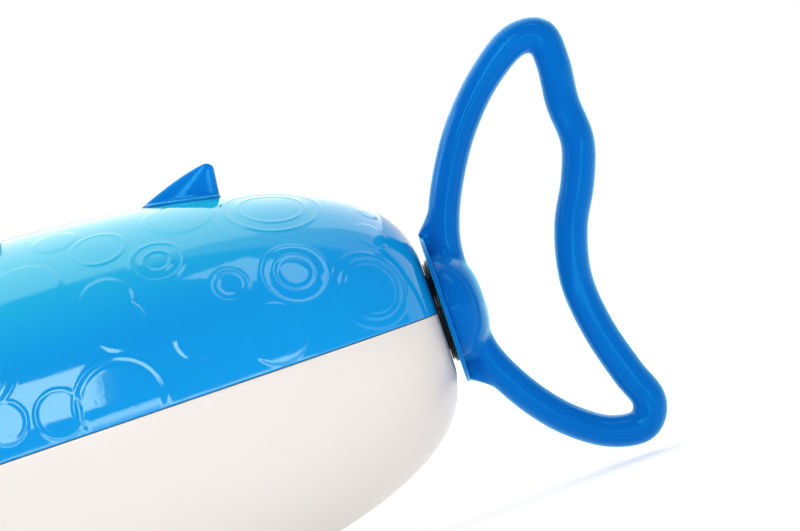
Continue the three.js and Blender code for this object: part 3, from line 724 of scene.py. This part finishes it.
def fin_section(middle, half_chord, half, turn):
    """Points round a fin's section, which is thickest a little behind its middle."""
    along = np.cos(turn) + FIN_BELLY * np.sin(turn) ** 2
    across = np.sign(np.sin(turn)) * np.abs(np.sin(turn)) ** FIN_FLATNESS
    return middle + half_chord * along, half * across


def saddle(fin):
    """The plate under a dorsal fin, bent over the body and rounded along its rim."""
    radius = fin["saddle_round"]
    corner = np.array([REAR_LENGTH - fin["saddle_end"] - radius, fin["saddle_side"] - radius])
    bow = REAR_LENGTH - fin["saddle_front"] + fin["saddle_side"]
    quarter = np.linspace(0, np.pi / 2, 13)
    half_turn = np.linspace(np.pi / 2, 1.5 * np.pi, 49)

    def arc(centre, radius, turn):
        return np.c_[centre[0] + radius * np.cos(turn), centre[1] + radius * np.sin(turn)]

    plan = np.vstack([
        arc(corner, radius, quarter),
        arc((bow, 0), fin["saddle_side"], half_turn),
        arc((corner[0], -corner[1]), radius, quarter - np.pi / 2),
    ])
    centre = np.array([(bow + corner[0]) / 2, 0])

    def ring(scale, offset):
        spot = centre + scale * (plan - centre)
        side = np.abs(body_point(spot[:, 0], 0)[:, 1])
        angle = np.arccos(np.clip(-spot[:, 1] / side, -1, 1))
        return skin(spot[:, 0], angle, offset)[0]

    scales = np.linspace(*SADDLE_SCALES, 24)
    under = [ring(s, SEAT) for s in scales]
    over = [ring(s, fin["saddle"]) for s in scales[::-1]]
    return loft([*under, ring(1, SEAT), ring(1, fin["saddle"]), *over])


def dorsal_fin(fin):
    """A fin over horizontal sections, leading edge bowed and trailing edge hollowed, moulded onto its saddle."""
    top = body_point(REAR_LENGTH - fin["end"], np.pi / 2)[2]
    tall = fin["rise"] + fin["sink"]
    turn = np.linspace(0, 2 * np.pi, FIN_SIDES, endpoint=False)
    rings = []
    for t in 1 - (1 - np.linspace(0, 1, 41)) ** FIN_CROWDING:
        lead = REAR_LENGTH - fin["tip"] - (fin["start"] - fin["tip"]) * (1 - t) ** FIN_BOW
        trail = REAR_LENGTH - fin["end"] + fin["lean"] * t - fin["hollow"] * math.sin(math.pi * t)
        over = max(1 - (1 - t) * tall / fin["round"], 0)
        trail -= fin["round"] * (1 - math.sqrt(1 - over * over))
        half = fin["thickness"] * (1 - fin["taper"] + fin["taper"] * math.sqrt(1 - t))
        x, y = fin_section((lead + trail) / 2, max(trail - lead, 1) / 2, half, turn)
        rings.append(np.c_[x, y, np.full(len(turn), top - fin["sink"] + tall * t)])
    blade = combine(loft(rings), body_solid(SEAT), "DIFFERENCE")
    return moulded([blade, saddle(fin)], fin["voxel"], fin["rounds"])


def pectoral_fin(side):
    """A swept fin that droops from the left (-1) or the right (1) side of the body."""
    front = PECTORAL_SETBACK - NOSE_LENGTH
    gain = PECTORAL_SWEEP + PECTORAL_TIP - PECTORAL_CHORD
    turn = np.linspace(0, 2 * np.pi, FIN_SIDES, endpoint=False)
    rings = []
    for t in 1 - (1 - np.linspace(0, 1, 49)) ** PECTORAL_CROWDING:
        lead = front + PECTORAL_SWEEP * t**PECTORAL_BOW
        trail = front + PECTORAL_CHORD + gain * t - PECTORAL_HOLLOW * math.sin(math.pi * t)
        half = PECTORAL_THICKNESS * (PECTORAL_EDGE + (1 - PECTORAL_EDGE) * math.sqrt(1 - t))
        y = (PECTORAL_SPAN + PECTORAL_ROOT) * math.sin(t * math.pi / 2) - PECTORAL_ROOT
        x, z = fin_section((lead + trail) / 2, (trail - lead) / 2, half, turn)
        rings.append(np.c_[x, np.full(len(turn), y), z])
    root = body_point(front + PECTORAL_CHORD / 2, math.radians(PECTORAL_ANGLE))
    droop = math.radians(PECTORAL_DROOP)
    points = np.array(rings)
    out = points[..., 1] * math.cos(droop) + points[..., 2] * math.sin(droop) - root[1]
    up = points[..., 2] * math.cos(droop) - points[..., 1] * math.sin(droop) + root[2]
    blade = loft(np.stack([points[..., 0], side * out, up], -1))
    return combine(blade, body_solid(SEAT), "DIFFERENCE")


def on_body(profile, x, angle, sides=72):
    """A turned solid that stands square on the body, from (radius, height) points."""
    foot, normal = skin(np.array(x, float), np.array(angle, float))
    return moved(upright(profile, sides), standing(foot, normal))


def dome(radius, foot, base, rise):
    """Profile of a dome on a short cylinder."""
    turn = np.linspace(0, np.pi / 2, 20)
    return [(0, foot), (radius, foot), *zip(radius * np.cos(turn), base + rise * np.sin(turn))]


def eye_place(side):
    angle = math.radians(EYE_ANGLE)
    return EYE_SETBACK - NOSE_LENGTH, (math.pi - angle if side > 0 else angle)


def eye(side):
    place = eye_place(side)
    ball = combine(on_body(dome(EYE_RADIUS, -WALL, 0, EYE_RISE), *place), body_solid(SEAT), "DIFFERENCE")
    floor, roof = EYE_RISE - PUPIL_SINK - FIT, 2 * EYE_RISE
    pocket = [(0, floor), (PUPIL_RADIUS + FIT, floor), (PUPIL_RADIUS + FIT, roof), (0, roof)]
    return combine(ball, on_body(pocket, *place), "DIFFERENCE")


def pupil(side):
    return on_body(dome(PUPIL_RADIUS, EYE_RISE - PUPIL_SINK, EYE_RISE, PUPIL_RISE), *eye_place(side))


# Tail handle


def curve_through(points, steps):
    """A smooth line through points, a centripetal spline."""
    points = np.array(points, float)
    points = np.vstack([2 * points[0] - points[1], points, 2 * points[-1] - points[-2]])
    made = []
    for i in range(1, len(points) - 2):
        group = points[i - 1:i + 3]
        knots = np.cumsum(np.r_[0, np.linalg.norm(np.diff(group, axis=0), axis=1) ** 0.5])
        t = np.linspace(knots[1], knots[2], steps, endpoint=False)[:, None]

        def between(pair, low, high):
            return ((knots[high] - t) * pair[0] + (t - knots[low]) * pair[1]) / (knots[high] - knots[low])

        level = [between(group[j:j + 2], j, j + 1) for j in range(3)]
        level = [between(level[j:j + 2], j, j + 2) for j in range(2)]
        made.append(between(level, 1, 2))
    return np.vstack([*made, points[-2][None]])


def bar(points, half, depth, steps=8):
    """An oval bar in the plane of the tail, along a smooth line; half gives its half width along that line."""
    line = curve_through(points, steps)
    way = np.gradient(line, axis=0)
    way /= np.linalg.norm(way, axis=1, keepdims=True)
    out = np.c_[-way[:, 1], way[:, 0]]
    turn = np.linspace(0, 2 * np.pi, 40, endpoint=False)
    flat = line[:, None] + (half(line)[:, None] * np.cos(turn))[..., None] * out[:, None]
    across = np.broadcast_to(depth * np.sin(turn), flat.shape[:2])
    return loft(np.stack([REAR_LENGTH + flat[..., 0], across, AXIS + flat[..., 1]], -1))


def tail_half_width(line):
    """The loop's rear arm is a little thicker than its front arms."""
    back = smoothstep((line[:, 0] - TAIL_REAR_START) / TAIL_REAR_BLEND)
    return TAIL_FRONT_RADIUS + (TAIL_BACK_RADIUS - TAIL_FRONT_RADIUS) * back


def strut_half_width(line):
    return np.linspace(*TAIL_STRUT_RADIUS, len(line))


def tail_loop():
    """The bent bar and the webs at its roots."""
    struts = [bar(points, strut_half_width, TAIL_STRUT_RADIUS[1]) for points in TAIL_STRUTS]
    return [bar(TAIL_BAR, tail_half_width, TAIL_DEPTH), *struts]


def tail_boss():
    """The dome on the flange that both arms spring from."""
    foot, rim = TAIL_FACE + TAIL_RIM / 4, TAIL_FACE + TAIL_RIM
    turn = np.linspace(0, np.pi / 2, 21)
    return turned([
        (foot, 0), (foot, TAIL_DOME_RADIUS),
        *zip(
            rim + (TAIL_DOME - TAIL_RIM) * np.sin(turn) ** TAIL_DOME_FULLNESS,
            TAIL_DOME_RADIUS * np.maximum(np.cos(turn), 0) ** TAIL_DOME_FULLNESS,
        ),
    ])


def tail_handle():
    """The loop with its boss and flange, a socket for the rod's spigot and a recess for the screw."""
    handle = moulded([*tail_loop(), tail_boss()], TAIL_VOXEL, TAIL_ROUNDS)
    flange = turned(rounded([
        (TAIL_FACE, 0), (TAIL_FACE, TAIL_FLANGE_RADIUS), (TAIL_FACE + TAIL_RIM, TAIL_FLANGE_RADIUS),
        (TAIL_FACE + TAIL_RIM, 0),
    ], ROUNDING["flange"]), 144)
    handle = combine(handle, flange, "UNION")
    apex = TAIL_FACE + TAIL_DOME
    socket, seat = rod_high[0] + FIT, apex - TAIL_RECESS
    mouth, clear = TAIL_FACE - OVERSHOOT, apex + TAIL_CLEARING
    way = [
        (mouth, 0), (mouth, ROD_SPIGOT_RADIUS + FIT), (socket, ROD_SPIGOT_RADIUS + FIT), (socket, SCREW_HOLE),
        (seat, SCREW_HOLE), (seat, COUNTERBORE), (clear, COUNTERBORE), (clear, 0),
    ]
    return combine(handle, turned(way, 64), "DIFFERENCE")


# Pump


def rod_prism(x0, x1, growth):
    """A length of the ribbed rod: four ribs with filleted roots and rounded edges."""
    span, web, fillet = ROD_SPAN + growth, ROD_WEB + growth, ROD_FILLET - growth
    root = web + fillet
    hollow = np.linspace(-np.pi / 2, -np.pi, 9)
    quarter = [(span, -web), (span, web)]
    quarter += [(root + fillet * math.cos(a), root + fillet * math.sin(a)) for a in hollow]
    corner = []
    for i in range(4):
        c, s = math.cos(i * math.pi / 2), math.sin(i * math.pi / 2)
        corner += [(c * y - s * z, s * y + c * z) for y, z in quarter]
    section = np.array(rounded([*corner, corner[0]], ROUNDING["rib"])[:-1])
    rings = [np.c_[np.full(len(section), x), section[:, 0], AXIS + section[:, 1]] for x in (x0, x1)]
    return loft(rings)


def plunger_rod():
    """The ribbed stem with a spigot for the piston head, a collar and a spigot for the tail handle."""
    front = piston_high[0] + FIT
    collar_back = TAIL_FACE - SEAT
    collar_front = REAR_LENGTH + FIT / 2
    step = (collar_front + collar_back) / 2
    root, small = collar_front - END_WALL, COLLAR_RADIUS - COLLAR_STEP
    collar = turned(rounded([
        (root, 0), (root, ROD_SPIGOT_RADIUS), (collar_front, ROD_SPIGOT_RADIUS), (collar_front, small),
        (step, small), (step, COLLAR_RADIUS), (collar_back, COLLAR_RADIUS), (collar_back, ROD_SPIGOT_RADIUS),
        (rod_high[0], ROD_SPIGOT_RADIUS), (rod_high[0], 0),
    ], ROUNDING["collar"]))
    spigot = turned(rounded([
        (rod_low[0], 0), (rod_low[0], ROD_SPIGOT_RADIUS), (front + FIT, ROD_SPIGOT_RADIUS), (front + FIT, 0),
    ], ROUNDING["spigot"]))
    stem = combine(rod_prism(front, collar_front + FIT, 0), collar, "UNION")
    stem = combine(stem, spigot, "UNION")
    ends = [
        (rod_low[0] - OVERSHOOT, rod_low[0] + ROD_BORE),
        (rod_high[0] - ROD_BORE, rod_high[0] + OVERSHOOT),
    ]
    bores = [turned([(x0, 0), (x0, SCREW_HOLE), (x1, SCREW_HOLE), (x1, 0)], 24) for x0, x1 in ends]
    return combine(stem, joined(bores), "DIFFERENCE")


def pump_barrel():
    floor = piston_low[0] - HEAD_SPACE
    front = floor - BARREL_FRONT_WALL
    return turned(rounded([
        (barrel_low[0], NECK_BORE), (barrel_low[0], NECK_RADIUS - NECK_TAPER), (front, NECK_RADIUS),
        (front, BORE_RADIUS), (front + BARREL_CHAMFER, BARREL_RADIUS), (barrel_high[0], BARREL_RADIUS),
        (barrel_high[0], BORE_RADIUS), (floor, BORE_RADIUS), (floor, NECK_BORE), (barrel_low[0], NECK_BORE),
    ], ROUNDING["barrel"]))


def barrel_end_cap():
    skirt, wide = BARREL_RADIUS + FIT, cap_high[1]
    seat = cap_high[0] - CAP_PLATE
    cup = turned(rounded([
        (seat, 0), (seat, skirt), (cap_low[0], skirt), (cap_low[0], wide), (seat, wide),
        (cap_high[0], CAP_FACE_RADIUS), (cap_high[0], 0),
    ], ROUNDING["cap"]))
    return combine(cup, rod_prism(seat - OVERSHOOT, cap_high[0] + OVERSHOOT, SLIDE), "DIFFERENCE")


def nozzle():
    seat = -NOSE_LENGTH - FIT
    flange = seat - NOZZLE_FLANGE
    neck = barrel_low[0] - FIT
    socket = NECK_RADIUS + FIT
    return turned(rounded([
        (nozzle_low[0], JET_RADIUS), (nozzle_low[0], NOZZLE_TIP_RADIUS),
        (flange - NOZZLE_TIP / 4, NOZZLE_FLARE * NOZZLE_TIP_RADIUS), (flange, NOZZLE_FLANGE_RADIUS - NOZZLE_CHAMFER),
        (flange + NOZZLE_CHAMFER, NOZZLE_FLANGE_RADIUS), (seat, NOZZLE_FLANGE_RADIUS), (seat, NOZZLE_STEM_RADIUS),
        (nozzle_high[0], NOZZLE_STEM_RADIUS), (nozzle_high[0], socket), (neck, socket), (neck, JET_RADIUS),
        (nozzle_low[0], JET_RADIUS),
    ], ROUNDING["nozzle"]))


def ring(node):
    """A rubber ring with a round section, where its CAD node is."""
    low, high = box_mm(node)
    section = (high[0] - low[0]) / 2
    radius = high[1] - section
    turn = np.linspace(0, 2 * np.pi, 25)
    middle = (low[0] + high[0]) / 2
    return turned(list(zip(middle + section * np.cos(turn), radius + section * np.sin(turn))))


def piston_head():
    radius = piston_high[1]
    low, high = box_mm("piston_seal")
    middle, half = (low[0] + high[0]) / 2, (high[0] - low[0]) / 2 + SEAL_FIT
    bed = high[1] - 2 * half + SEAL_FIT
    seat = piston_low[0] + SCREW_HEAD + 2 * FIT
    return turned(rounded([
        (seat, SCREW_HOLE), (seat, COUNTERBORE), (piston_low[0], COUNTERBORE),
        (piston_low[0], radius - PISTON_CHAMFER), (piston_low[0] + PISTON_CHAMFER, radius),
        (middle - half, radius), (middle - half, bed), (middle + half, bed), (middle + half, radius),
        (piston_high[0], radius), (piston_high[0], ROD_SPIGOT_RADIUS + FIT),
        (rod_low[0] - FIT, ROD_SPIGOT_RADIUS + FIT), (rod_low[0] - FIT, SCREW_HOLE), (seat, SCREW_HOLE),
    ], ROUNDING["piston"]))


# Screws


def screw(length):
    """A screw along Z, head down: domed head with a cross recess, threaded shank and a point."""
    turn = np.linspace(0, np.pi / 2, 10)
    crown = SCREW_HEAD_RIM + (1 - SCREW_HEAD_RIM) * np.cos(turn)
    profile = list(zip(SCREW_HEAD_RADIUS * np.sin(turn), -SCREW_HEAD * crown))
    profile += [(SCREW_HEAD_RADIUS, 0), (SCREW_RADIUS, 0)]
    z = THREAD_PITCH
    while z < length - SCREW_POINT * SCREW_RADIUS:
        profile += [
            (SCREW_RADIUS - THREAD_DEPTH, z), (SCREW_RADIUS, z + THREAD_PITCH / 2),
            (SCREW_RADIUS - THREAD_DEPTH, z + THREAD_PITCH),
        ]
        z += THREAD_PITCH
    profile.append((0, length))
    made = upright(profile, 32)
    square = np.array([(-1, -1), (1, -1), (1, 1), (-1, 1)]) / 2
    for size, taper in (
        ((CROSS_LENGTH, CROSS_WIDTH), (CROSS_TAPER, 1)),
        ((CROSS_WIDTH, CROSS_LENGTH), (1, CROSS_TAPER)),
    ):
        brim, foot = square * size, square * size * taper
        heights = (-SCREW_HEAD - OVERSHOOT, CROSS_DEPTH - SCREW_HEAD)
        groove_arm = loft([np.c_[plan, np.full(4, z)] for plan, z in zip((brim, foot), heights)])
        made = combine(made, groove_arm, "DIFFERENCE")
    return made


def screw_at(node, head):
    """A screw where its CAD node is; head is the direction that its head faces."""
    low, high = box_mm(node)
    middle = (low + high) / 2
    way = -np.array(head)
    length = np.abs(way) @ (high - low) - SCREW_HEAD
    seat = middle + way * (SCREW_HEAD - length) / 2
    return moved(screw(length), standing(seat, way))


# Pieces

dress("upper_shell", upper_shell())
dress("lower_shell", lower_shell())
dress("front_dorsal_fin", dorsal_fin(FRONT_FIN))
dress("rear_dorsal_fin", dorsal_fin(REAR_FIN))
for name, side in (("left", -1), ("right", 1)):
    dress(f"{name}_pectoral_fin", pectoral_fin(side))
    dress(f"{name}_eye", eye(side))
    dress(f"{name}_pupil", pupil(side))
dress("tail_handle", tail_handle())
dress("plunger_rod", plunger_rod())
dress("pump_barrel", pump_barrel())
dress("barrel_end_cap", barrel_end_cap())
dress("nozzle", nozzle())
dress("nozzle_seal", ring("nozzle_seal"))
dress("piston_head", piston_head())
dress("piston_seal", ring("piston_seal"))
for node in SHELL_SCREWS:
    dress(node, screw_at(node, (0, 0, -1)))
dress("piston_screw", screw_at("piston_screw", (-1, 0, 0)))
dress("handle_screw", screw_at("handle_screw", (1, 0, 0)))


# Stage

FLOOR_SIZE = 6.0  # metres
CAMERA_ROLL = 18.67  # degrees; the toy lies nose down in the picture
CAMERA_RISE = 0.35
CAMERA_DISTANCE = 0.9
CAMERA_TARGET = (0.1204, 0.0, 0.0594)
VIEW_WIDTH = 0.184  # width of the picture at the target
SENSOR_WIDTH = 36
AMBIENT = 0.45  # soft light from all round
BACKDROP = 1.0
ROOM = 0.12  # what gloss mirrors from the camera's side of the studio
TENT_EDGE = 0.04  # softness of the edge between that side and the white backdrop
FLOOR_GLOW = (0.3, 0.64)  # of the white floor as seen near the toy, where its shadow falls, and far off
FLOOR_REACH = (0.3, 0.8)  # metres from the toy over which the one turns into the other
FLOOR_BOUNCE = 0.3  # what the floor adds to the light from below
PAPER = 0.9


def ray_kind(nodes, links, *kinds):
    """1 for rays of any of these kinds, and 0 for others."""
    path = nodes.new("ShaderNodeLightPath")
    total = path.outputs[kinds[0]]
    for kind in kinds[1:]:
        either = nodes.new("ShaderNodeMath")
        either.operation = "MAXIMUM"
        links.new(total, either.inputs[0])
        links.new(path.outputs[kind], either.inputs[1])
        total = either.outputs[0]
    return total


def studio():
    """Even light from all round; the camera and gloss see a white backdrop, and gloss a dim room in front."""
    world = bpy.data.worlds.new("studio")
    bpy.context.scene.world = world
    world.use_nodes = True
    nodes, links = world.node_tree.nodes, world.node_tree.links

    def between(share, low, high):
        mix = nodes.new("ShaderNodeMix")
        links.new(share, mix.inputs["Factor"])
        for socket, value in (("A", low), ("B", high)):
            if isinstance(value, float):
                mix.inputs[socket].default_value = value
            else:
                links.new(value, mix.inputs[socket])
        return mix.outputs["Result"]

    way = nodes.new("ShaderNodeTexCoord")
    parts = nodes.new("ShaderNodeSeparateXYZ")
    links.new(way.outputs["Generated"], parts.inputs["Vector"])
    behind = nodes.new("ShaderNodeMapRange")
    behind.interpolation_type = "SMOOTHSTEP"
    behind.inputs["From Min"].default_value = -TENT_EDGE
    behind.inputs["From Max"].default_value = TENT_EDGE
    links.new(parts.outputs["Y"], behind.inputs["Value"])
    mirrored = between(behind.outputs["Result"], ROOM, BACKDROP)
    lit = between(ray_kind(nodes, links, "Is Glossy Ray"), AMBIENT, mirrored)
    shown = between(ray_kind(nodes, links, "Is Camera Ray", "Is Transmission Ray"), lit, BACKDROP)
    nodes["Background"].inputs["Color"].default_value = (1, 1, 1, 1)
    links.new(shown, nodes["Background"].inputs["Strength"])


def floor():
    """A white paper floor that keeps the toy's shadow."""
    material = bpy.data.materials.new("floor")
    material.use_nodes = True
    nodes, links = material.node_tree.nodes, material.node_tree.links
    nodes.remove(nodes["Principled BSDF"])
    paper = nodes.new("ShaderNodeBsdfDiffuse")
    paper.inputs["Color"].default_value = (PAPER, PAPER, PAPER, 1)
    glow = nodes.new("ShaderNodeEmission")
    glow.inputs["Color"].default_value = (1, 1, 1, 1)
    place = nodes.new("ShaderNodeTexCoord")
    far = nodes.new("ShaderNodeVectorMath")
    far.operation = "LENGTH"
    links.new(place.outputs["Object"], far.inputs[0])
    spread = nodes.new("ShaderNodeMapRange")
    spread.interpolation_type = "SMOOTHSTEP"
    for end, reach, strength in zip(("Min", "Max"), FLOOR_REACH, FLOOR_GLOW):
        spread.inputs[f"From {end}"].default_value = reach
        spread.inputs[f"To {end}"].default_value = strength
    links.new(far.outputs["Value"], spread.inputs["Value"])
    shown = nodes.new("ShaderNodeMix")
    shown.inputs["A"].default_value = FLOOR_BOUNCE
    links.new(spread.outputs["Result"], shown.inputs["B"])
    seen = ray_kind(nodes, links, "Is Camera Ray", "Is Glossy Ray", "Is Transmission Ray")
    links.new(seen, shown.inputs["Factor"])
    links.new(shown.outputs["Result"], glow.inputs["Strength"])
    both = nodes.new("ShaderNodeAddShader")
    links.new(paper.outputs["BSDF"], both.inputs[0])
    links.new(glow.outputs["Emission"], both.inputs[1])
    links.new(both.outputs["Shader"], nodes["Material Output"].inputs["Surface"])
    half = FLOOR_SIZE / 2
    corners = [(-half, -half, 0), (half, -half, 0), (half, half, 0), (-half, half, 0)]
    mesh = bpy.data.meshes.new("floor")
    mesh.from_pydata(corners, [], [(0, 1, 2, 3)])
    mesh.materials.append(material)
    sheet = bpy.data.objects.new("floor", mesh)
    bpy.context.scene.collection.objects.link(sheet)


def softbox(name, place, target, size, power, turn=0):
    """A soft lamp that faces a target, turned about its own axis by some degrees."""
    lamp = bpy.data.lights.new(name, "AREA")
    lamp.shape = "RECTANGLE"
    lamp.size, lamp.size_y = size
    lamp.energy = power
    box = bpy.data.objects.new(name, lamp)
    box.location = place
    aim = (Vector(target) - Vector(place)).to_track_quat("-Z", "Y").to_matrix()
    box.rotation_euler = (aim @ Matrix.Rotation(math.radians(turn), 3, "Z")).to_euler()
    bpy.context.scene.collection.objects.link(box)


def photo_camera():
    """A level look at the toy's left side, rolled as the toy lies in the picture."""
    roll, rise = math.radians(CAMERA_ROLL), math.radians(CAMERA_RISE)
    forward = Vector((0, math.cos(rise), -math.sin(rise)))
    level, lift = Vector((1, 0, 0)), Vector((0, math.sin(rise), math.cos(rise)))
    right = level * math.cos(roll) - lift * math.sin(roll)
    up = level * math.sin(roll) + lift * math.cos(roll)
    data = bpy.data.cameras.new("camera")
    data.sensor_width = SENSOR_WIDTH
    data.lens = SENSOR_WIDTH * CAMERA_DISTANCE / VIEW_WIDTH
    data.clip_start, data.clip_end = 0.01, 50
    camera = bpy.data.objects.new("camera", data)
    turn = Matrix((right, up, -forward)).transposed().to_4x4()
    camera.matrix_world = Matrix.Translation(Vector(CAMERA_TARGET) - forward * CAMERA_DISTANCE) @ turn
    bpy.context.scene.collection.objects.link(camera)
    bpy.context.scene.camera = camera


studio()
floor()
softbox("overhead", (0.05, 0.42, 0.62), (0.05, 0, 0.06), (1.2, 0.9), 4.1, 40)
softbox("front", (0.045, -0.736, 0.36), (0.045, 0, 0.05), (0.165, 0.34), 1.4)
softbox("side", (0.42, -0.3, 0.72), (0.09, -0.02, 0.07), (0.16, 0.4), 0.6)
softbox("low", (0.1, -0.75, 0.03), (0.1, 0, 0.03), (0.9, 0.05), 0.8)
softbox("left", (-0.6, 0.05, 0.45), (0.15, 0, 0.06), (0.4, 0.5), 2.4)
photo_camera()
bpy.context.scene.view_settings.view_transform = "Standard"
